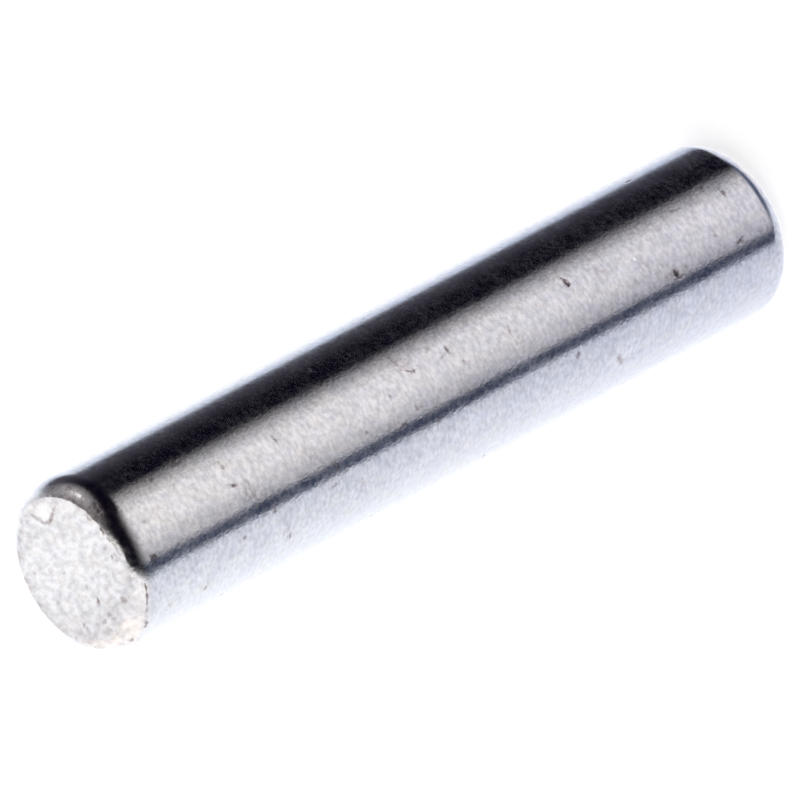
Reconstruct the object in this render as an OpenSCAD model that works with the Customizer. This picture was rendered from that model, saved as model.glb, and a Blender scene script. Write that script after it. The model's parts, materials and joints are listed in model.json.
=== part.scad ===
// Parallel dowel pin: one ground round bar that locates two parts in a shared
// hole. Each end has a flat face and a rounded edge. The rounding leaves the
// shank smoothly and meets the face at a shallow angle, as it does on a pin
// that was cut to length and tumbled. The pin stands on its bottom face, with
// its axis on +Z and its origin at the centre of that face.

/* [Shank] */
// Diameter of the ground shank
pin_d = 4; // [2:0.5:20]
// Length over the two end faces
pin_l = 20; // [8:1:100]

/* [Top end] */
// Radius of the rounded edge at the top
top_edge_r = 0.6; // [0.45:0.05:3]
// How far in from the shank the flat face starts at the top
top_edge_in = 0.35; // [0.1:0.05:0.45]

/* [Bottom end] */
// Radius of the rounded edge at the bottom
bottom_edge_r = 0.6; // [0.45:0.05:3]
// How far in from the shank the flat face starts at the bottom
bottom_edge_in = 0.35; // [0.1:0.05:0.45]

/* [Hidden] */

$fn = 180;

pin_r = pin_d / 2;

// Height at which an edge of radius edge_r, which reaches edge_in towards the
// axis at the face, has turned far enough to run along the shank
function edge_height(edge_r, edge_in) = sqrt(edge_in * (2 * edge_r - edge_in));

// Half section of a bar with one finished end on y = 0. It runs past y = pin_l,
// where the other end cuts it off.
module finished_end(edge_r, edge_in) {
    edge_h = edge_height(edge_r, edge_in);
    // Core under the flat face
    square([pin_r - edge_in, pin_l]);
    // Full shank above the edge
    translate([0, edge_h])
        square([pin_r, pin_l]);
    // Round edge between them, kept above the face and outside the axis
    intersection() {
        translate([pin_r - edge_r, edge_h])
            circle(r = edge_r);
        square([pin_r, pin_l]);
    }
}

module pin() {
    color("lightsteelblue")
        rotate_extrude()
            intersection() {
                finished_end(bottom_edge_r, bottom_edge_in);
                translate([0, pin_l])
                    mirror([0, 1])
                        finished_end(top_edge_r, top_edge_in);
            }
}

pin();
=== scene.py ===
"""Looks, studio and camera of a parallel dowel pin that stands on its end.

Lengths are metres, but the lists of marks are in millimetres and degrees. A place on the pin's side is
given the way it is measured on a bench: an angle round the axis, from the side that faces the camera
towards +X, and a height over the floor. A mark's lean is 0 when it runs round the pin and 90 when it
runs along it. On the top face a lean of 0 is along X and 90 is along Y.
"""

import json
import math

import bmesh
import bpy
import numpy as np
from mathutils import Matrix, Vector, noise


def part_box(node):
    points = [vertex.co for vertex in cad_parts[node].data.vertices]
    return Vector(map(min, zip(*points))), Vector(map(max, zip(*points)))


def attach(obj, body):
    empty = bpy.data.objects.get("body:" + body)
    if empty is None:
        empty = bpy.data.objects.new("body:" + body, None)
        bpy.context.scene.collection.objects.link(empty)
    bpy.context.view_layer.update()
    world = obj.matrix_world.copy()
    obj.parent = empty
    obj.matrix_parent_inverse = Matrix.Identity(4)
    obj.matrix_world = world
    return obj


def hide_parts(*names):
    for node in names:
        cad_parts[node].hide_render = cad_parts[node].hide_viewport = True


MM = 0.001

# How near two places count as the same one
TOUCH = 0.0005 * MM

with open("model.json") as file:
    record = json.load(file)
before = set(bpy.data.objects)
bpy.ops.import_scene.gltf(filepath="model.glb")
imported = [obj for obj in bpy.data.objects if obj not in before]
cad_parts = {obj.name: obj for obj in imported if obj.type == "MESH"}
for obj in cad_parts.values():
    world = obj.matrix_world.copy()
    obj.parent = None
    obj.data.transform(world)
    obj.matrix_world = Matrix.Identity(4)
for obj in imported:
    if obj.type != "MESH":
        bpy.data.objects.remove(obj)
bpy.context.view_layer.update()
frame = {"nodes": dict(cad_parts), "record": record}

# ---------------------------------------------------------------- sizes, all from the frame

cad_pin = frame["nodes"]["pin"]
shank = next(m for m in frame["record"]["mounts"] if m["name"] == "shank")
PIN_R = shank["dims"]["r_mm"] * MM
SHANK_L = shank["dims"]["length_mm"] * MM
PIN_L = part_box("pin")[1].z
FACE_R = max(math.hypot(v.co.x, v.co.y) for v in cad_pin.data.vertices if v.co.z > PIN_L - TOUCH)
MIDDLE = PIN_L / 2

# Each rounded edge is an arc that leaves the shank smoothly: how far it runs in and along the pin, its
# radius, and how far it has turned where it meets the face
EDGE_IN = PIN_R - FACE_R
EDGE_H = MIDDLE - SHANK_L / 2
EDGE_R = (EDGE_IN ** 2 + EDGE_H ** 2) / (2 * EDGE_IN)
EDGE_TURN = math.asin(EDGE_H / EDGE_R)

# ---------------------------------------------------------------- marks of use on the surface

# Pits on the side: angle, height, length, width, lean, depth, and how dark the dirt in them is
SIDE_PITS = [
    (15, 6.20, 0.27, 0.15, 17, 0.0050, 0.80),
    (-12.5, 3.43, 0.29, 0.16, 36, 0.0040, 0.80),
    (-13, 1.45, 0.22, 0.14, 90, 0.0030, 0.72),
    (18.5, 1.20, 0.27, 0.14, 12, 0.0030, 0.72),
    (15, 16.67, 0.22, 0.11, 0, 0.0029, 0.55),
    (0, 16.68, 0.20, 0.13, 60, 0.0038, 0.78),
    (13.5, 15.11, 0.24, 0.11, 15, 0.0029, 0.39),
    (4, 11.90, 0.15, 0.12, 0, 0.0029, 0.45),
    (10.5, 10.98, 0.16, 0.11, 90, 0.0025, 0.39),
    (12, 9.93, 0.23, 0.12, 0, 0.0029, 0.45),
    (0, 9.66, 0.16, 0.13, 0, 0.0021, 0.5),
    (-9.5, 12.87, 0.13, 0.11, 0, 0.0025, 0.34),
    (-11, 11.34, 0.19, 0.14, 90, 0.0029, 0.5),
    (-22.8, 10.89, 0.16, 0.13, 80, 0.0, 0.5),
    (-32.5, 16.84, 0.15, 0.11, 90, 0.0015, 0.3),
    (-15.6, 11.83, 0.22, 0.11, 80, 0.0, 0.65),
    (-18.2, 13.95, 0.24, 0.13, 20, 0.0, 0.8),
    (-15.3, 19.37, 0.24, 0.13, 70, 0.0, 0.85),
    (-17, 19.44, 0.16, 0.09, 30, 0.0, 0.7),
    (-29, 14.10, 0.22, 0.11, 90, 0.0025, 0.39),
    (-28.5, 6.68, 0.19, 0.16, 0, 0.0029, 0.45),
    (-47.5, 5.41, 0.30, 0.13, 23, 0.0034, 0.45),
    (-48, 15.50, 0.22, 0.16, 0, 0.0025, 0.45),
    (-53, 18.00, 0.22, 0.15, 30, 0.0025, 0.34),
    (-25, 15.87, 0.19, 0.12, 0, 0.0025, 0.39),
    (-41, 9.00, 0.17, 0.11, 60, 0.0017, 0.28),
    (-42, 13.37, 0.19, 0.11, 0, 0.0017, 0.22),
    (-52, 19.04, 0.19, 0.13, 40, 0.0021, 0.22),
    (24, 2.50, 0.38, 0.10, 82, 0.0021, 0.34),
    (29, 1.58, 0.17, 0.13, 0, 0.0025, 0.34),
    (-1, 2.01, 0.27, 0.09, 0, 0.0013, 0.35),
    (5, 8.22, 0.27, 0.08, -25, 0.0013, 0.22),
    (-6, 8.07, 0.30, 0.08, -18, 0.0013, 0.22),
    (-11.5, 3.12, 0.16, 0.08, 0, 0.0017, 0.22),
    (30, 17.60, 0.34, 0.17, 90, 0.001, 0.35),
    (28, 18.40, 0.28, 0.15, 80, 0.001, 0.45),
    (6, 19.25, 0.27, 0.11, 90, 0.0017, 0.22),
    (-5, 18.30, 0.22, 0.13, 90, 0.0017, 0.19),
    (10, 14.15, 0.16, 0.13, 0, 0.0013, 0.19),
    (20, 10.30, 0.16, 0.11, 0, 0.0013, 0.19),
    (45, 12.95, 0.26, 0.16, -49, 0.006, 0.05),
    (-61, 19.66, 0.22, 0.07, 0, 0.0010, 0.6),
    (-78, 19.77, 0.24, 0.10, 0, 0.0010, 0.6),
]

# Broad faint smudges on the side: angle, height, length, width, lean, depth, dirt
SMUDGES = [
    (-7, 16.38, 0.64, 0.52, 0, 0.0, 0.20),
    (-5, 14.50, 0.45, 0.32, 10, 0.0, 0.12),
    (19, 11.22, 0.60, 0.40, 70, 0.0, 0.15),
    (-12, 12.05, 0.40, 0.30, 0, 0.0, 0.10),
    (-6, 8.15, 0.60, 0.26, 12, 0.0, 0.12),
    (0, 4.15, 0.55, 0.30, -10, 0.0, 0.16),
    (-8, 3.60, 0.70, 0.45, 70, 0.0, 0.18),
    (12, 5.30, 0.50, 0.35, 40, 0.0, 0.10),
    (-37, 13.35, 0.45, 0.25, 60, 0.0, 0.09),
    (-43, 15.60, 0.60, 0.35, 30, 0.0, 0.08),
]

# Painted highlights, glints on the side: angle, height, length, width, lean, depth and how strong
SIDE_GLINTS = [
    (8, 4.27, 0.10, 0.08, 0, 0.0, 1.0),
    (24, 3.77, 0.10, 0.08, 0, 0.0, 0.9),
    (-8.5, 6.35, 0.08, 0.06, 0, 0.0, 0.5),
    (0, 13.45, 0.07, 0.06, 0, 0.0, 0.5),
]

# Scratches on the side: width, depth, dirt, and the (angle, height) points they run through
SIDE_SCRATCHES = [
    (0.062, 0.0006, 0.42, [(26, 11.28), (20, 11.27), (15, 11.24), (12, 11.10), (10.5, 10.98)]),
    (0.062, 0.0010, 0.42, [(2.5, 16.82), (0, 16.66)]),
    (0.080, 0.0006, 0.30, [(12, 9.93), (10, 10.10), (9.5, 10.22)]),
    (0.050, 0.0020, 0.15, [(0, 4.45), (-6, 4.49), (-12, 4.62)]),
    (0.062, 0.0008, 0.65, [(-45, 19.72), (-37, 19.72), (-29, 19.73)]),
    (0.090, 0.0005, 0.20, [(-60, 19.70), (-50, 19.71), (-40, 19.72)]),
]

# Pits on the top face: x, y, length, width, lean, depth, dirt
FACE_PITS = [
    (-0.80, -0.32, 0.22, 0.15, -50, 0.0032, 0.47),
    (-1.27, 0.47, 0.22, 0.14, 10, 0.0027, 0.37),
    (-1.10, 0.52, 0.14, 0.11, 60, 0.0023, 0.31),
    (-1.17, -0.42, 0.22, 0.13, 90, 0.0023, 0.26),
    (-1.30, -0.55, 0.18, 0.13, 90, 0.0023, 0.26),
    (-0.45, -0.22, 0.19, 0.15, 90, 0.0018, 0.2),
    (-0.48, -1.22, 0.21, 0.14, 120, 0.0027, 0.37),
    (-1.03, -1.12, 0.24, 0.15, 70, 0.0027, 0.42),
    (-1.07, -1.32, 0.20, 0.14, 20, 0.0027, 0.42),
    (-0.63, -0.80, 0.17, 0.14, 90, 0.0018, 0.26),
    (-0.12, -1.48, 0.17, 0.11, 60, 0.0023, 0.37),
    (-0.22, -1.60, 0.24, 0.12, 10, 0.0027, 0.45),
    (0.50, -1.60, 0.32, 0.18, -10, 0.0030, 0.95),
    (0.25, -1.64, 0.18, 0.12, 0, 0.0020, 0.6),
    (0.83, -1.36, 0.22, 0.14, 30, 0.0023, 0.45),
    (1.15, -1.22, 0.22, 0.13, 45, 0.0032, 0.41),
    (0.80, -0.98, 0.14, 0.11, 90, 0.0018, 0.2),
    (0.12, -1.37, 0.14, 0.11, 90, 0.0018, 0.2),
    (-0.43, 0.92, 0.19, 0.14, 60, 0.0018, 0.2),
    (0.05, 0.28, 0.17, 0.09, 90, 0.0014, 0.16),
    (1.02, 0.58, 0.19, 0.11, 110, 0.0018, 0.2),
    (0.35, 1.20, 0.17, 0.13, 90, 0.0018, 0.16),
    (0.97, 0.85, 0.17, 0.11, 90, 0.0018, 0.16),
    (-0.92, -0.58, 0.19, 0.09, 90, 0.0018, 0.18),
    (-1.25, -0.15, 0.27, 0.09, 100, 0.0018, 0.2),
]

# Dent near the top face's +X side: a shallow dish with a painted highlight and a cut round its inner
# side
DENT = (1.36, -0.08, 0.50, 0.34, 90, 0.010, 0.0)
FACE_SCRATCHES = [
    (0.135, 0.0055, 0.44, [(1.43, 0.33), (1.28, 0.16), (1.15, 0.08)]),
    (0.140, 0.0055, 0.44, [(1.17, 0.10), (1.14, -0.06), (1.20, -0.22), (1.38, -0.52)]),
]
FACE_GLINTS = [(1.37, -0.08, 0.44, 0.38, 0, 0.0, 1.0)]

# Where the top face's edge is worn outwards: angle, how far it spreads in degrees, and how far out it is
WORN_EDGE = [(-18, 22, 0.042), (38, 18, 0.022), (70, 20, 0.040), (-75, 25, 0.030)]

# Small dents in the rounded edge of the top end: angle, height, length, width, lean, depth, dirt
EDGE_DENTS = [
    (32, 19.84, 0.18, 0.08, -20, 0.003, 0.60),
    (60, 19.84, 0.18, 0.10, 15, 0.004, 0.15),
    (27, 19.86, 0.16, 0.10, 0, 0.004, 0.35),
    (72, 19.86, 0.16, 0.09, 0, 0.003, 0.10),
]

# Painted warm light on the rounded edges and beside them: which end, angle and spread in degrees,
# strength
WARM_LIGHT_PATCHES = [(1, -84, 42, 1.0), (-1, 35, 34, 1.0), (1, 14, 26, 0.6)]

# How far the cut look of the top face spreads over its rounded edge, at angles all round, and how far
# that of the bottom face does
CUT_REACH = [
    (-180, 0.20),
    (-70, 0.35),
    (-40, 0.24),
    (-20, 0.12),
    (-5, 0.06),
    (6, 0.03),
    (80, 0.03),
    (100, 0.15),
    (180, 0.20),
]
BOTTOM_CUT_REACH = 0.10

# Stretches round the top face's edge where the dirt is thick, where it has blots and speckles, and where
# the rounded edge is rubbed. Each gives the angles where it starts, is full, gets less and ends.
THICK_DIRT = (8, 22, 62, 88)
DIRT_BLOTS = (12, 22, 38, 54)
DIRT_SPECKLES = (18, 26, 82, 92)
RUBBED_EDGE = (10, 25, 80, 95)

# How dark the dirt's line, blots and speckles at the faces' edges are, and the painted rim shade
LINE_DIRT = 0.56
BLOT_DIRT = 0.60
SPECKLE_DIRT = 0.36
RIM_SHADE = 0.22

# Pits drawn at random on the rest of the side: how many, and from which angle to which
OTHER_PITS = 60
OTHER_PITS_FROM = 64
OTHER_PITS_TO = 294
SEED = 20

# ---------------------------------------------------------------- the pin's mesh

# Points round the pin, and rings along the shank and along each rounded edge
AROUND = 224
SHANK_RINGS = 144
EDGE_RINGS = 14

# A face's rings are FACE_STEP apart, twice as far on the bottom one. Where the points of a ring would be
# nearer to each other than NARROWEST, it has half as many, but a ring of FEWEST_POINTS is never halved.
FACE_STEP = 0.036 * MM
NARROWEST = 0.028 * MM
FEWEST_POINTS = 7

# Cuts in each edge of a face near a mark, and how far past the mark's end that reaches
FINER = 3
FINE_ROOM = 0.10 * MM

# Along the worn and dirty stretch of the top face's edge, the faces within FINE_RIM are cut as well
FINE_RIM = 0.09 * MM
FINE_RIM_ANGLES = range(-30, 90, 2)

# Hills of the noise that makes the rims of marks and of scratches ragged
MARK_RIM = 0.07 * MM
SCRATCH_RIM = 0.09 * MM

# How far inwards and outwards the top face's worn edge takes its surroundings along, and its waves: how
# far they go in and out, how long they are, and which pattern of noise they have
WEAR_IN = 0.16 * MM
WEAR_OUT = 0.30 * MM
WEAR_WAVES = ((0.016 * MM, 0.30 * MM, 1), (0.010 * MM, 0.11 * MM, 2))

# How deep and how long the faint waves of the shank and of the cut faces are
SHANK_WAVE = 0.0012 * MM
SHANK_WAVE_LENGTH = 0.45 * MM
FACE_WAVE = 0.0022 * MM
FACE_WAVE_LENGTH = 0.22 * MM

# What each point of the mesh tells the material, from 0 to 1
MARKED = ("cut", "dirt_and_shade", "painted_glint", "warm_light")


def face_rings(step):
    """(radius, points) of each ring of an end face, from its edge to near the centre."""
    steps = round(FACE_R / step)
    rings = []
    count = AROUND
    for i in range(steps):
        radius = FACE_R * (1 - i / steps)
        while count > FEWEST_POINTS and math.tau * radius / count < NARROWEST:
            count //= 2
        rings.append((radius, count))
    return rings


def profile():
    """(radius, height, points) of each ring, from the bottom face's middle to the top face's."""
    bottom_face = [(radius, 0.0, count) for radius, count in face_rings(2 * FACE_STEP)]
    top_face = [(radius, PIN_L, count) for radius, count in face_rings(FACE_STEP)]
    edge = []
    for i in range(1, EDGE_RINGS):
        angle = EDGE_TURN * (1 - i / EDGE_RINGS)
        radius = PIN_R - EDGE_R + EDGE_R * math.cos(angle)
        edge.append((radius, EDGE_H - EDGE_R * math.sin(angle), AROUND))
    wall = [(PIN_R, EDGE_H + SHANK_L * i / SHANK_RINGS, AROUND) for i in range(SHANK_RINGS + 1)]
    top_edge = [(radius, PIN_L - height, count) for radius, height, count in reversed(edge)]
    return bottom_face[::-1] + edge + wall + top_edge + top_face


def bridge(mesh, below, above):
    """Faces between two rings, where one may have half as many points as the other."""
    if len(below) == len(above):
        n = len(below)
        for i in range(n):
            j = (i + 1) % n
            mesh.faces.new((below[i], below[j], above[j], above[i]))
        return
    wide, narrow = (below, above) if len(below) > len(above) else (above, below)
    n = len(narrow)
    for i in range(n):
        a, b, c = wide[2 * i], wide[2 * i + 1], wide[(2 * i + 2) % len(wide)]
        p, q = narrow[i], narrow[(i + 1) % n]
        fan = [(a, b, p), (b, c, q, p)]
        for corners in fan:
            mesh.faces.new(corners if wide is below else corners[::-1])


def lathe():
    """The pin as a closed bmesh of plain rings."""
    mesh = bmesh.new()
    last = None
    for radius, height, count in profile():
        ring = []
        for i in range(count):
            angle = math.tau * i / count
            ring.append(mesh.verts.new((radius * math.sin(angle), -radius * math.cos(angle), height)))
        if last is None:
            centre = mesh.verts.new((0, 0, height))
            for i in range(count):
                mesh.faces.new((centre, ring[(i + 1) % count], ring[i]))
        else:
            bridge(mesh, last, ring)
        last = ring
    centre = mesh.verts.new((0, 0, PIN_L))
    for i in range(len(last)):
        mesh.faces.new((last[i], last[(i + 1) % len(last)], centre))
    return mesh


def on_side(angle, height):
    """Point on the side or the rounded edge at an angle in degrees and a height in mm."""
    a, z = math.radians(angle), height * MM
    rise = abs(z - MIDDLE) - SHANK_L / 2
    radius = PIN_R - EDGE_R + math.sqrt(EDGE_R ** 2 - max(rise, 0) ** 2)
    return (radius * math.sin(a), -radius * math.cos(a), z)


def fine_spots(pits):
    """(centre, reach) of each place whose marks need small faces."""

    def reach(size):
        return size * MM / 2 + FINE_ROOM

    side_marks = pits + EDGE_DENTS + SIDE_GLINTS
    spots = [(on_side(angle, height), reach(length)) for angle, height, length, *_ in side_marks]
    spots += [((x * MM, y * MM, PIN_L), reach(length)) for x, y, length, *_ in FACE_PITS + [DENT]]
    for width, _, _, places in SIDE_SCRATCHES:
        for (a, h), (b, k) in zip(places, places[1:]):
            for t in (0, 0.33, 0.67, 1):
                spots.append((on_side(a + (b - a) * t, h + (k - h) * t), reach(width)))
    for width, _, _, places in FACE_SCRATCHES:
        spots += [((x * MM, y * MM, PIN_L), reach(width)) for x, y in places]
    for angle in FINE_RIM_ANGLES:
        a = math.radians(angle)
        spots.append(((FACE_R * math.sin(a), -FACE_R * math.cos(a), PIN_L), FINE_RIM))
    return spots


def refine(mesh, pits):
    """Cuts the faces round each mark into smaller ones."""
    mesh.verts.index_update()
    points = np.array([v.co for v in mesh.verts])
    near = np.zeros(len(points), bool)
    for centre, reach in fine_spots(pits):
        near |= ((points - centre) ** 2).sum(1) < reach ** 2
    edges = [e for e in mesh.edges if near[e.verts[0].index] and near[e.verts[1].index]]
    bmesh.ops.subdivide_edges(mesh, edges=edges, cuts=FINER, use_grid_fill=True)
    # The faces beside the cut ones have gained corners. Split this way they leave no faces of zero area.
    many_sided = [f for f in mesh.faces if len(f.verts) > 4]
    bmesh.ops.triangulate(mesh, faces=many_sided, ngon_method="BEAUTY")


def smoothstep(x):
    """0 up to x = 0, 1 from x = 1 on, and a smooth step between."""
    x = np.clip(x, 0, 1)
    return x * x * (3 - 2 * x)


def arc_share(angle, start, full, less, end):
    """1 at the angles from full to less, 0 outside start and end, and smooth between."""
    return smoothstep((angle - start) / (full - start)) * smoothstep((end - angle) / (end - less))


def angle_of(points):
    """Degrees round the pin, from -180 to 180."""
    return np.degrees(np.arctan2(points[:, 0], -points[:, 1]))


def turn_from(centre, angle):
    """Degrees from centre round to an angle, from -180 to 180."""
    return (angle - centre + 180) % 360 - 180


def true_shape(points):
    """Moves points onto the pin's exact surface. Gives them, their normals and their distance along the
    profile from the face's edge, which is negative on the face.
    """
    x, y, z = points.T
    radius = np.hypot(x, y)
    level = np.abs(z - MIDDLE)
    face = (level > MIDDLE - TOUCH) & (radius < FACE_R + TOUCH)
    edge = ~face & (level > SHANK_L / 2 + TOUCH)
    out, up = radius - (PIN_R - EDGE_R), np.clip(level - SHANK_L / 2, 0, None)
    slope = np.arctan2(up, out)
    true_radius = np.where(face, radius, PIN_R)
    true_radius[edge] = PIN_R - EDGE_R + EDGE_R * np.cos(slope[edge])
    true_level = np.where(face, MIDDLE, level)
    true_level[edge] = SHANK_L / 2 + EDGE_R * np.sin(slope[edge])
    slope = np.where(face, math.pi / 2, np.where(edge, slope, 0.0))
    past = np.where(face, radius - FACE_R, EDGE_R * (EDGE_TURN - slope))
    past = np.where(~face & ~edge, EDGE_R * EDGE_TURN + SHANK_L / 2 - level, past)
    # The middle of a face has radius 0, and must not be divided by it
    outwards = np.stack([x, y], 1) / np.maximum(radius, TOUCH)[:, None]
    side = np.sign(z - MIDDLE)
    placed = np.column_stack([outwards * true_radius[:, None], MIDDLE + side * true_level])
    normals = np.column_stack([outwards * np.cos(slope)[:, None], side * np.sin(slope)])
    return placed, normals, past


def ripple(points, size, layer=0):
    """Smooth noise from about -1 to 1 with hills about size across. layer picks another pattern."""
    offset = Vector((layer * 7.3, layer * 3.1, layer * 5.7))
    return np.array([noise.noise(Vector(p) / size + offset) for p in points]) * 1.6


def wear_edge(points, past):
    """Moves the top face's edge in and out a little, as the cut and the wear left it."""
    close = (points[:, 2] > MIDDLE) & (past > -WEAR_IN) & (past < WEAR_OUT)
    angle = np.arctan2(points[close, 0], -points[close, 1])
    ring = np.column_stack([np.sin(angle), -np.cos(angle), 0 * angle]) * FACE_R
    shift = sum(height * ripple(ring, length, layer) for height, length, layer in WEAR_WAVES)
    for centre, spread, out in WORN_EDGE:
        shift += out * MM * np.exp(-(((np.degrees(angle) - centre) / spread) ** 2))
    along = past[close]
    share = np.where(along < 0, smoothstep(1 + along / WEAR_IN), smoothstep(1 - along / WEAR_OUT))
    # A point moves inwards on the level, and outwards along the rounded edge
    slope = EDGE_TURN - np.clip(along, 0, None) / EDGE_R
    new_slope = slope - np.clip(shift, 0, None) * share / EDGE_R
    outwards = EDGE_R * (np.cos(new_slope) - np.cos(slope)) + np.clip(shift * share, None, 0)
    points[close, 0] += outwards * np.sin(angle)
    points[close, 1] -= outwards * np.cos(angle)
    points[close, 2] += EDGE_R * (np.sin(new_slope) - np.sin(slope))


def blot(across, along, mark, ragged):
    """1 in the middle of a mark and 0 outside, where across and along are mm from its middle. ragged is
    noise that moves its rim in and out.
    """
    length, width, lean = mark[2:5]
    cos, sin = math.cos(math.radians(lean)), math.sin(math.radians(lean))
    u = (across * cos + along * sin) / (length / 2)
    v = (along * cos - across * sin) / (width / 2)
    return smoothstep(1.25 - np.hypot(u, v) * (1 + 0.42 * ragged))


def stroke(across, along, places, width, ragged):
    """1 on a line through places and 0 beside it, thinner towards its ends. Lengths are mm. ragged is
    noise that moves its rims in and out.
    """
    best = np.zeros(len(across))
    legs = [math.dist(a, b) for a, b in zip(places, places[1:])]
    run = 0.0
    for (a, b), leg in zip(zip(places, places[1:]), legs):
        t = ((across - a[0]) * (b[0] - a[0]) + (along - a[1]) * (b[1] - a[1])) / leg ** 2
        t = np.clip(t, 0, 1)
        gap = np.hypot(across - a[0] - t * (b[0] - a[0]), along - a[1] - t * (b[1] - a[1]))
        done = (run + t * leg) / sum(legs)
        thick = width / 2 * (0.5 + 2 * done * (1 - done))
        best = np.maximum(best, smoothstep(1.2 - gap / thick * (1 + 0.35 * ragged)))
        run += leg
    return best


def other_pits():
    """Pits for the rest of the side, drawn from a fixed seed."""
    draw = np.random.default_rng(SEED)
    pits = []
    for _ in range(OTHER_PITS):
        length = draw.uniform(0.08, 0.2)
        angle = draw.uniform(OTHER_PITS_FROM, OTHER_PITS_TO)
        height = draw.uniform(0.8, 19.2)
        width = length * draw.uniform(0.4, 0.8)
        lean = draw.uniform(-90, 90)
        depth = draw.uniform(0.001, 0.006)
        dirt_and_shade = draw.uniform(0.15, 0.7)
        pits.append((angle, height, length, width, lean, depth, dirt_and_shade))
    return pits


def add_marks(points, past, pits):
    """Depth in metres, and dirt and painted highlight from 0 to 1, that the marks and glints give at
    each point.
    """
    depth, dirt_and_shade, painted_glint = (np.zeros(len(points)) for _ in range(3))
    angle = angle_of(points)
    x, y, height = (points / MM).T
    side = past > -TOUCH
    top = (past < TOUCH) & (points[:, 2] > MIDDLE)

    def add(where, amount, deep, shade, painted=dirt_and_shade):
        """Deepens and paints the points at where."""
        depth[where] = np.maximum(depth[where], amount * deep * MM)
        painted[where] = np.maximum(painted[where], amount * shade)

    def add_blot(part, across, along, mark, painted):
        """Adds a mark to the side or the top face."""
        where = part & (np.hypot(across, along) < mark[2])
        shape = blot(across[where], along[where], mark, ripple(points[where], MARK_RIM))
        add(where, shape, *mark[5:], painted)

    def round_from(centre, angles):
        """How many mm of the shank lie between a centre and some angles."""
        return PIN_R / MM * np.radians(turn_from(centre, angles))

    # Glints are painted highlights; the other marks give depth and dirt
    for mark in pits + SMUDGES + EDGE_DENTS + SIDE_GLINTS:
        painted = painted_glint if mark in SIDE_GLINTS else dirt_and_shade
        add_blot(side, round_from(mark[0], angle), height - mark[1], mark, painted)
    for mark in FACE_PITS + [DENT] + FACE_GLINTS:
        add_blot(top, x - mark[0], y - mark[1], mark, painted_glint if mark in FACE_GLINTS else dirt_and_shade)
    for width, deep, dark, places in SIDE_SCRATCHES:
        first_angle, first_height = places[0]
        across = round_from(first_angle, angle)
        flat = [(round_from(first_angle, a), h) for a, h in places]
        # No scratch reaches further from its first point than this
        where = side & (np.abs(across) < 2) & (np.abs(height - first_height) < 1)
        shape = stroke(across[where], height[where], flat, width, ripple(points[where], SCRATCH_RIM))
        add(where, shape, deep, dark)
    for width, deep, dark, places in FACE_SCRATCHES:
        shape = stroke(x[top], y[top], places, width, ripple(points[top], SCRATCH_RIM))
        add(top, shape, deep, dark)
    return depth, dirt_and_shade, painted_glint


def edge_dirt_and_rim_shade(points, past):
    """Brown dirt that clings to the edges of the end faces, and painted shade just inside them. The dirt
    is broken up, and on the top face it is thickest on the +X side of the front, where dark blots spread
    from it over the rounded edge.
    """
    close = np.abs(past) < 0.34 * MM
    near, past_near = points[close], past[close]
    angle = angle_of(near)
    top = near[:, 2] > MIDDLE
    # Line along the edge
    thick = np.where(top, 0.06 + 0.94 * arc_share(angle, *THICK_DIRT), 0.3)
    broken = smoothstep(0.2 + 0.5 * thick + 0.7 * ripple(near, 0.12 * MM, 3))
    line = LINE_DIRT * np.exp(-(((past_near - 0.048 * MM) / (0.050 * MM)) ** 2)) * thick * broken
    # Blots across it, and fine speckles beyond it on the rounded edge
    blots = smoothstep(0.2 + 0.9 * ripple(near, 0.10 * MM, 6)) * arc_share(angle, *DIRT_BLOTS) * top
    blots = BLOT_DIRT * blots * smoothstep(1.1 - np.abs(past_near - 0.07 * MM) / (0.14 * MM))
    speckles = smoothstep(0.1 + 0.8 * ripple(near, 0.055 * MM, 10)) * arc_share(angle, *DIRT_SPECKLES)
    speckles = SPECKLE_DIRT * speckles * top * (past_near > 0)
    # Painted shade on the faces, just inside their edges and away from the front
    rim_shade = RIM_SHADE * smoothstep((np.abs(angle) - 50) / 40) * (past_near < 0)
    rim_shade = rim_shade * smoothstep(1 + past_near / (0.30 * MM))
    rim_shade = rim_shade * smoothstep(0.55 + 0.5 * ripple(near, 0.25 * MM, 8))
    amount = np.zeros(len(points))
    amount[close] = np.maximum.reduce([line, blots, speckles, rim_shade])
    return amount


def warm_light_amount(points, past):
    """Painted warm light: a warmer, lighter tint on and beside the rounded edges, from 0 to 1."""
    angle = angle_of(points)
    amount = np.zeros(len(points))
    band = smoothstep(1 + (past - 0.04 * MM) / (0.22 * MM))
    band = band * smoothstep(1 - (past - 0.34 * MM) / (0.20 * MM))
    for end, centre, spread, strength in WARM_LIGHT_PATCHES:
        close = (np.sign(points[:, 2] - MIDDLE) == end) & (band > 0)
        gap = turn_from(centre, angle[close])
        patchy = np.clip(0.8 + 0.3 * ripple(points[close], 0.3 * MM, 9), 0, 1)
        shape = band[close] * smoothstep(1.2 - np.abs(gap) / spread) * patchy
        amount[close] = np.maximum(amount[close], strength * shape)
    return amount


def cut_look(points, past):
    """1 on the cut end faces and 0 on the ground shank. The top face's look spreads over its rounded
    edge on the -X side, and stops at the face's edge on the +X side of the front.
    """
    angle = angle_of(points)
    top = points[:, 2] > MIDDLE
    reach = np.where(top, np.interp(angle, *zip(*CUT_REACH)), BOTTOM_CUT_REACH) * MM
    # Only near the edge does it change
    close = (past > -0.1 * MM) & (past < 0.9 * MM)
    amount = (past <= 0).astype(float)
    ragged = 1 + 0.5 * ripple(points[close], 0.12 * MM, 7)
    amount[close] = smoothstep(1.25 - 0.75 * past[close] / (reach[close] * ragged))
    # The worn stretch of the rounded edge has some of the same look
    rubbed = 0.6 * arc_share(angle, *RUBBED_EDGE) * top * smoothstep(1.2 - past / (0.30 * MM))
    return np.maximum(amount, np.where(past > 0, rubbed, 0))


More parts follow.
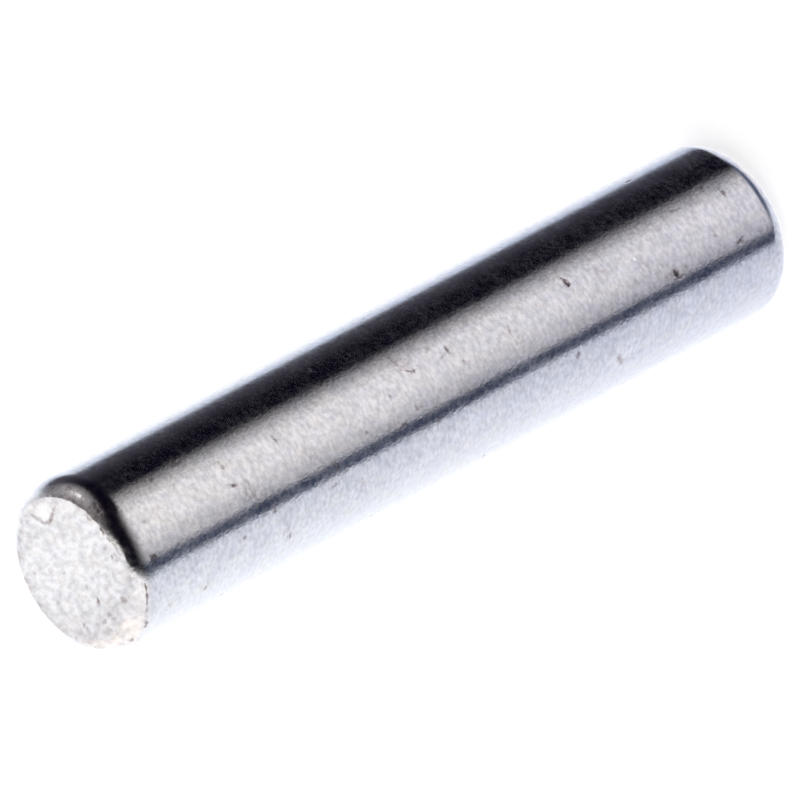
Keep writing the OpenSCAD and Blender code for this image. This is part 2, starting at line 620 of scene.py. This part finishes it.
def waves(points, cut):
    """Depth in metres of the faint waves, which are shorter and deeper on the cut faces."""
    shank_wave = SHANK_WAVE * (0.5 + 0.5 * ripple(points, SHANK_WAVE_LENGTH, 4))
    face_wave = FACE_WAVE * (0.5 + 0.5 * ripple(points, FACE_WAVE_LENGTH, 5))
    return np.clip(shank_wave + (face_wave - shank_wave) * cut, 0, None)


def build_pin():
    """The pin's mesh with its relief, what its points tell the material, and the material."""
    pits = SIDE_PITS + other_pits()
    mesh = lathe()
    refine(mesh, pits)
    for f in mesh.faces:
        f.smooth = True
    data = bpy.data.meshes.new("ground_pin")
    mesh.to_mesh(data)
    mesh.free()
    points = np.empty(len(data.vertices) * 3)
    data.vertices.foreach_get("co", points)
    points, normals, past = true_shape(points.reshape(-1, 3))
    depth, dirt_and_shade, painted_glint = add_marks(points, past, pits)
    warm_light = warm_light_amount(points, past)
    # The painted shade at the faces' rims goes in with the dirt
    dirt_and_shade = np.maximum(dirt_and_shade, edge_dirt_and_rim_shade(points, past))
    cut = cut_look(points, past)
    moved = points - normals * (depth + waves(points, cut))[:, None]
    wear_edge(moved, past)
    data.vertices.foreach_set("co", moved.ravel())
    for name, values in zip(MARKED, (cut, dirt_and_shade, painted_glint, warm_light)):
        data.attributes.new(name, "FLOAT", "POINT").data.foreach_set("value", values)
    data.update()
    pin = bpy.data.objects.new("ground_pin", data)
    bpy.context.scene.collection.objects.link(pin)
    data.materials.append(ground_steel())
    return pin


# ---------------------------------------------------------------- node helpers

# Sockets of a Mix node that mixes colours
MIX_FACTOR = 0
MIX_A = 6
MIX_B = 7
MIX_RESULT = 2


def node(tree, kind, inputs=(), **settings):
    """A new node with its settings, and its inputs set to values or linked to sockets."""
    made = tree.nodes.new("ShaderNode" + kind)
    for key, value in settings.items():
        setattr(made, key, value)
    for key, value in dict(inputs).items():
        if isinstance(value, bpy.types.NodeSocket):
            tree.links.new(value, made.inputs[key])
        else:
            made.inputs[key].default_value = value
    return made


def maths(tree, operation, *values):
    """What a Math node makes of some numbers."""
    return node(tree, "Math", enumerate(values), operation=operation).outputs[0]


def product(tree, *values):
    """Several numbers multiplied together."""
    result = values[0]
    for value in values[1:]:
        result = maths(tree, "MULTIPLY", result, value)
    return result


def ramp(tree, value, start, end, low, high, kind):
    """low up to start, high from end on, and a ramp between."""
    inputs = {"Value": value, "From Min": start, "From Max": end, "To Min": low, "To Max": high}
    return node(tree, "MapRange", inputs, interpolation_type=kind).outputs["Result"]


def smooth(tree, value, start, end, low=0.0, high=1.0):
    """A ramp that is a smooth step. start may be above end."""
    if start > end:
        start, end, low, high = end, start, high, low
    return ramp(tree, value, start, end, low, high, "SMOOTHSTEP")


def straight(tree, value, start, end, low=0.0, high=1.0):
    """A straight ramp. start may be above end."""
    return ramp(tree, value, start, end, low, high, "LINEAR")


def mixed(tree, factor, a, b):
    """Colour a where factor is 0 and b where it is 1."""
    inputs = {MIX_FACTOR: factor}
    for key, colour in ((MIX_A, a), (MIX_B, b)):
        inputs[key] = colour if isinstance(colour, bpy.types.NodeSocket) else (*colour, 1)
    return node(tree, "Mix", inputs, data_type="RGBA", clamp_factor=True).outputs[MIX_RESULT]


def tinted(tree, colour, tint):
    """A colour multiplied by another."""
    inputs = {MIX_FACTOR: 1.0, MIX_A: colour, MIX_B: tint}
    return node(tree, "Mix", inputs, data_type="RGBA", blend_type="MULTIPLY").outputs[MIX_RESULT]


def speckle(tree, place, size, detail=1.0, stretch=(1, 1, 1)):
    """Noise from 0 to 1 with blots about size across, longer along an axis that has more stretch."""
    scale = [1 / (size * s) for s in stretch]
    fitted = node(tree, "Mapping", {"Vector": place, "Scale": scale}).outputs[0]
    return node(tree, "TexNoise", {"Vector": fitted, "Scale": 1.0, "Detail": detail}).outputs["Fac"]


def heading(turn, rise):
    """Unit vector of a direction: degrees round from the camera's side towards +X, and degrees up."""
    a, e = math.radians(turn), math.radians(rise)
    return (math.sin(a) * math.cos(e), -math.cos(a) * math.cos(e), math.sin(e))


def towards(tree, view, target):
    """How far a view direction points to a target direction, from -1 to 1."""
    inputs = {0: view, 1: heading(*target)}
    return node(tree, "VectorMath", inputs, operation="DOT_PRODUCT").outputs["Value"]


def empty_tree(owner):
    """The node tree of a material or a world, with nothing in it."""
    owner.use_nodes = True
    owner.node_tree.nodes.clear()
    return owner.node_tree


# ---------------------------------------------------------------- materials

WHITE = (1, 1, 1)

# How big the blots of the steel's patterns are
FINE = 0.10 * MM
CLOUDS = 0.45 * MM
WHEEL_LINES = 0.045 * MM
COARSE = 0.14 * MM
BANKS = 0.42 * MM
HUES = 0.28 * MM
BUMPS = 0.066 * MM

# Darkest and lightest grain
SHANK_GRAIN = ((0.615, 0.615, 0.635), (0.882, 0.872, 0.877))
FACE_GRAIN = ((0.645, 0.64, 0.65), (0.924, 0.924, 0.934))
QUIET_GRAIN = (0.750, 0.745, 0.757)

# Tints: painted shading along the shank from its foot to its top, painted shade on the face's -X side,
# cooler and warmer places, and the painted warm light
LENGTH_SHADE_TINTS = ((0.89, 0.89, 0.94), (1.085, 1.08, 1.06))
SIDE_SHADE_TINT = (0.875, 0.87, 0.875)
HUE_TINTS = ((0.982, 0.99, 1.014), (1.010, 1.0, 0.990))
WARM_LIGHT_TINT = (1.17, 1.085, 1.01)

# Thin and thick grime, whose colours the painted rim shade takes too
GRIME_AND_SHADE = ((0.160, 0.070, 0.060), (0.035, 0.025, 0.025))

# How far from the axis, along X, the shank's grain starts to be quieter and where it is quietest
QUIET_SIDES = (1.30 * MM, 1.85 * MM)

# Height of the bumps of the grain: on the shank, on its quieter sides, and how much more on a cut face
GRAIN_HEIGHT = 0.0027 * MM
QUIET_GRAIN_HEIGHT = 0.0014 * MM
MORE_ON_FACE = 0.0018 * MM


def shank_colour(tree, place, height, fine, clouds, beside):
    """Fine grain, broad clouds, the faint lines that the wheel left round the pin, and painted shading.
    """
    lines = speckle(tree, place, WHEEL_LINES, 1.0, (12, 12, 1))
    shade = maths(tree, "MULTIPLY", fine, 0.62)
    shade = maths(tree, "MULTIPLY_ADD", clouds, 0.30, shade)
    shade = maths(tree, "MULTIPLY_ADD", lines, 0.08, shade)
    shank = mixed(tree, straight(tree, shade, 0.34, 0.66), *SHANK_GRAIN)
    shank = mixed(tree, maths(tree, "MULTIPLY", beside, 0.65), shank, QUIET_GRAIN)
    # Painted shading: darker and bluer at the foot, lighter and warmer at the top
    return tinted(tree, shank, mixed(tree, straight(tree, height, 0, PIN_L), *LENGTH_SHADE_TINTS))


def face_colour(tree, place, banks, x_side, warm_light):
    """Coarser and softer grain, with painted shade on the -X side except under the painted warm light.
    """
    coarse = speckle(tree, place, COARSE, 3.0, (1, 1.5, 1))
    milky = maths(tree, "MULTIPLY", coarse, 0.7)
    milky = maths(tree, "MULTIPLY_ADD", banks, 0.3, milky)
    face = mixed(tree, straight(tree, milky, 0.34, 0.61), *FACE_GRAIN)
    # Painted shade towards the face's -X side, except under the painted warm light
    clear = maths(tree, "SUBTRACT", 1, warm_light)
    shaded_side = product(tree, smooth(tree, x_side, -0.2 * MM, -1.4 * MM), clear)
    return tinted(tree, face, mixed(tree, shaded_side, WHITE, SIDE_SHADE_TINT))


def steel_roughness(tree, fine, clouds, banks, cut, dirt_and_shade):
    """Darker grain is rougher, and so are the cut faces and the grime."""
    shank_rough = straight(tree, clouds, 0.3, 0.7, 0.155, 0.20)
    shank_rough = maths(tree, "ADD", shank_rough, straight(tree, fine, 0.36, 0.64, 0.05, -0.03))
    face_rough = straight(tree, banks, 0.3, 0.7, 0.32, 0.42)
    rougher = maths(tree, "SUBTRACT", face_rough, shank_rough)
    roughness = maths(tree, "MULTIPLY_ADD", rougher, cut, shank_rough)
    return maths(tree, "ADD", roughness, smooth(tree, dirt_and_shade, 0.45, 0.95, 0, 0.3))


def ground_steel():
    """Bare steel: a centreless-ground shank with a fine mottled grain, and whiter, rougher end faces."""
    material = bpy.data.materials.new("ground_steel")
    tree = empty_tree(material)
    place = node(tree, "TexCoord").outputs["Object"]
    x_side, _, height = node(tree, "SeparateXYZ", {"Vector": place}).outputs
    painted = (node(tree, "Attribute", attribute_name=name).outputs["Fac"] for name in MARKED)
    cut, dirt_and_shade, painted_glint, warm_light = painted
    fine = speckle(tree, place, FINE, 3.0, (1.35, 1.35, 1))
    clouds = speckle(tree, place, CLOUDS, 2.0)
    banks = speckle(tree, place, BANKS, 2.0, (1, 1.4, 1))
    beside = smooth(tree, maths(tree, "ABSOLUTE", x_side), *QUIET_SIDES)
    # Grime gathers in the darker grain, which breaks up the rims of the marks
    grit = straight(tree, fine, 0.38, 0.62, 0.8, -0.8)
    thin = product(tree, dirt_and_shade, maths(tree, "SUBTRACT", 1, dirt_and_shade))
    dirt_and_shade = maths(tree, "MULTIPLY_ADD", thin, grit, dirt_and_shade)

    shank = shank_colour(tree, place, height, fine, clouds, beside)
    face = face_colour(tree, place, banks, x_side, warm_light)
    # Bluer in some places and warmer in others
    hue = speckle(tree, place, HUES, 1.0, (1, 1, 2))
    tint = mixed(tree, smooth(tree, hue, 0.35, 0.65), *HUE_TINTS)
    colour = tinted(tree, mixed(tree, cut, shank, face), tint)
    # Painted warm light: a warmer, lighter tint on and beside the rounded edges
    colour = tinted(tree, colour, mixed(tree, warm_light, WHITE, WARM_LIGHT_TINT))
    # Painted highlights: the glints are painted white
    colour = mixed(tree, painted_glint, colour, WHITE)
    # Grime, and the painted rim shade with it, in the grime's colours
    colour = mixed(tree, dirt_and_shade, colour, mixed(tree, smooth(tree, dirt_and_shade, 0.45, 0.9), *GRIME_AND_SHADE))

    # Thick grime doesn't reflect as metal does
    metal = smooth(tree, dirt_and_shade, 0.35, 0.95, 1.0, 0.2)
    grain = speckle(tree, place, BUMPS, 2.0, (1, 1.5, 1.4))
    shank_height = smooth(tree, beside, 0, 1, GRAIN_HEIGHT, QUIET_GRAIN_HEIGHT)
    grain = maths(tree, "MULTIPLY", grain, maths(tree, "MULTIPLY_ADD", cut, MORE_ON_FACE, shank_height))
    bump = node(tree, "Bump", {"Height": grain, "Strength": 1.0, "Distance": 1.0})
    inputs = {
        "Base Color": colour,
        "Metallic": metal,
        "Roughness": steel_roughness(tree, fine, clouds, banks, cut, dirt_and_shade),
        "Normal": bump.outputs[0],
    }
    shader = node(tree, "BsdfPrincipled", inputs)
    node(tree, "OutputMaterial", {"Surface": shader.outputs[0]})
    return material


# ---------------------------------------------------------------- studio

# Soft edges of what the steel reflects, in degrees round from the camera's side towards +X: where each
# starts to show and where it shows fully
SOFTBOX_LEFT = (-33.6, -30.6)
SOFTBOX_RIGHT = (40.6, 9.0)
FAR_TABLE = (130.6, 134.6)
NEAR_TABLE = (-43.8, -47.6)

# Directions, in degrees round and degrees up
CARD_AT = (98, 33)
LAMP_AT = (92.2, 28)
BEHIND = (190, 0)
LOW_BEHIND = (-156, -13)

# Dark room, the part of it next to the white table, the part low in the narrow gap, and the grey card
ROOM = ((0.003, 0.002, 0.007), (0.083, 0.079, 0.100))
LOW_ROOM = (0.029, 0.041, 0.084)
CARD = (0.385, 0.366, 0.380)

# Softbox from its -X side to its middle
SOFTBOX = ((0.455, 0.455, 0.495), (0.99, 0.97, 0.985))

# White table from the camera's side to behind the pin, its rim by the dark room, the white overhead, and
# the blue shade in front of the pin's foot
TABLE = ((0.53, 0.565, 0.675), (1.28, 1.315, 1.375))
TABLE_RIM = (0.73, 0.815, 0.97)
OVERHEAD = (1.11, 1.10, 1.11)
TABLE_SHADE = (0.098, 0.125, 0.195)

LAMP = (2.2, 2.2, 2.2)

FLOOR = (0.86, 0.86, 0.87)
FLOOR_GLOW = 0.70


def dark_room(tree, view, turn, rise):
    """Dark room, paler next to the white table and bluer low in the narrow gap, and the grey card."""
    room = mixed(tree, smooth(tree, turn, 84, 134), *ROOM)
    gap = product(tree, smooth(tree, turn, -25, -30), smooth(tree, rise, 0.1, -0.2))
    room = mixed(tree, gap, room, LOW_ROOM)
    return mixed(tree, smooth(tree, towards(tree, view, CARD_AT), 0.75, 1.0), room, CARD)


def add_softbox(tree, colour, turn, rise):
    """Softbox, brightest a little to the +X side and near its foot."""
    lean = maths(tree, "MULTIPLY_ADD", rise, 40, turn)
    corner = product(tree, smooth(tree, rise, -0.6, 0.1, 0, 42), smooth(tree, turn, 22, 62))
    lean = maths(tree, "ADD", lean, corner)
    left, right = smooth(tree, turn, *SOFTBOX_LEFT), straight(tree, lean, *SOFTBOX_RIGHT)
    lit = product(tree, left, right, smooth(tree, rise, 0.42, -0.70))
    return mixed(tree, lit, colour, mixed(tree, smooth(tree, turn, -42, 12), *SOFTBOX))


def add_table_shade(tree, colour, turn, rise):
    """Blue shade on the table in front of the pin's foot, weaker towards the -X side."""
    low = maths(tree, "ADD", rise, smooth(tree, turn, 15, -30, 0, 0.07))
    shade = product(tree, smooth(tree, low, -0.68, -0.84), smooth(tree, turn, -50, 5, 0.5, 1))
    return mixed(tree, shade, colour, TABLE_SHADE)


def white_table(tree, view, turn, rise):
    """Lightest behind the pin, bluish by the dark room, and plain white overhead."""
    glow = straight(tree, towards(tree, view, BEHIND), -1, 1)
    table = mixed(tree, glow, *TABLE)
    table = mixed(tree, smooth(tree, rise, -0.4, 0.5), table, OVERHEAD)
    rim = product(
        tree,
        smooth(tree, turn, 120, 126),
        smooth(tree, turn, 150, 132),
        smooth(tree, rise, -0.74, -0.65),
    )
    return mixed(tree, rim, table, TABLE_RIM)


def white_zones(tree, view, turn, rise):
    """Where the white shows: by the foot, beyond each gap, overhead, and below."""
    by_foot = product(tree, smooth(tree, turn, 76, 104), smooth(tree, rise, -0.69, -0.76))
    far_edge = maths(tree, "MULTIPLY_ADD", rise, -8, turn)
    far_edge = maths(tree, "SUBTRACT", far_edge, smooth(tree, rise, -0.1, 0.35, 0, 5))
    near_edge = maths(tree, "MULTIPLY_ADD", rise, -4.5, turn)
    overhead = maths(tree, "MULTIPLY_ADD", smooth(tree, turn, -10, 35), -0.07, rise)
    below = smooth(tree, towards(tree, view, LOW_BEHIND), -0.12, 0.08)
    return (
        by_foot,
        smooth(tree, far_edge, *FAR_TABLE),
        smooth(tree, near_edge, *NEAR_TABLE),
        smooth(tree, overhead, 0.875, 0.94),
        product(tree, below, smooth(tree, rise, -0.70, -0.80)),
    )


def studio():
    """White table and backdrop round the pin, a softbox before it, and dark room in the gaps."""
    world = bpy.data.worlds.new("studio")
    bpy.context.scene.world = world
    tree = empty_tree(world)
    view = node(tree, "TexCoord").outputs["Generated"]
    direction = node(tree, "SeparateXYZ", {"Vector": view}).outputs
    rise = direction["Z"]
    # Degrees round from the camera's side, towards +X
    ahead = maths(tree, "MULTIPLY", direction["Y"], -1)
    turn = maths(tree, "DEGREES", maths(tree, "ARCTAN2", direction["X"], ahead))
    colour = dark_room(tree, view, turn, rise)
    colour = add_softbox(tree, colour, turn, rise)
    colour = add_table_shade(tree, colour, turn, rise)
    table = white_table(tree, view, turn, rise)
    for zone in white_zones(tree, view, turn, rise):
        colour = mixed(tree, zone, colour, table)
    # Small lamp, whose glint shows on the rounded edge of the top end
    lamp = smooth(tree, towards(tree, view, LAMP_AT), 0.9954, 0.9986)
    colour = mixed(tree, lamp, colour, LAMP)
    # The camera itself sees plain white
    colour = mixed(tree, node(tree, "LightPath").outputs["Is Camera Ray"], colour, WHITE)
    background = node(tree, "Background", {"Color": colour, "Strength": 1.0})
    node(tree, "OutputWorld", {"Surface": background.outputs[0]})


def floor():
    """Pale floor, which glows a little to the camera and which the steel doesn't reflect."""
    half = 1.5
    data = bpy.data.meshes.new("floor")
    corners = [(-half, -half, 0), (half, -half, 0), (half, half, 0), (-half, half, 0)]
    data.from_pydata(corners, [], [(0, 1, 2, 3)])
    plane = bpy.data.objects.new("floor", data)
    bpy.context.scene.collection.objects.link(plane)
    material = bpy.data.materials.new("pale_floor")
    tree = empty_tree(material)
    paint = node(tree, "BsdfDiffuse", {"Color": (*FLOOR, 1)})
    camera_ray = node(tree, "LightPath").outputs["Is Camera Ray"]
    strength = maths(tree, "MULTIPLY", camera_ray, FLOOR_GLOW)
    glow = node(tree, "Emission", {"Color": (*WHITE, 1), "Strength": strength})
    both = node(tree, "AddShader", {0: paint.outputs[0], 1: glow.outputs[0]})
    node(tree, "OutputMaterial", {"Surface": both.outputs[0]})
    data.materials.append(material)
    plane.visible_glossy = False


# ---------------------------------------------------------------- camera

# The photo's angle and distance, the lens and its sensor in mm, which way the pin points in the frame,
# and how far its middle lies to the right of the frame's and over it
ELEVATION = math.radians(37.8)
DISTANCE = 0.455
LENS = 959.6
SENSOR = 36
PIN_IN_FRAME = math.radians(207.89)
OFF_CENTRE = (0.0872 * MM, 0.0876 * MM)


def camera():
    """Looks down on the standing pin, rolled so that its top end points to the frame's lower left."""
    data = bpy.data.cameras.new("camera")
    data.lens = LENS
    data.sensor_width = SENSOR
    data.clip_start = 0.01
    data.clip_end = 10
    cam = bpy.data.objects.new("camera", data)
    bpy.context.scene.collection.objects.link(cam)
    tilt = Matrix.Rotation(math.pi / 2 - ELEVATION, 4, "X")
    roll = Matrix.Rotation(math.pi / 2 - PIN_IN_FRAME, 4, "Z")
    turned = tilt @ roll
    right, up, back = (turned.col[i].to_3d() for i in range(3))
    aim = Vector((0, 0, MIDDLE)) - OFF_CENTRE[0] * right - OFF_CENTRE[1] * up
    cam.matrix_world = Matrix.Translation(aim + back * DISTANCE) @ turned
    bpy.context.scene.camera = cam


pin = build_pin()
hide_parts("pin")
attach(pin, "root")
studio()
floor()
camera()
bpy.context.scene.view_settings.view_transform = "Standard"
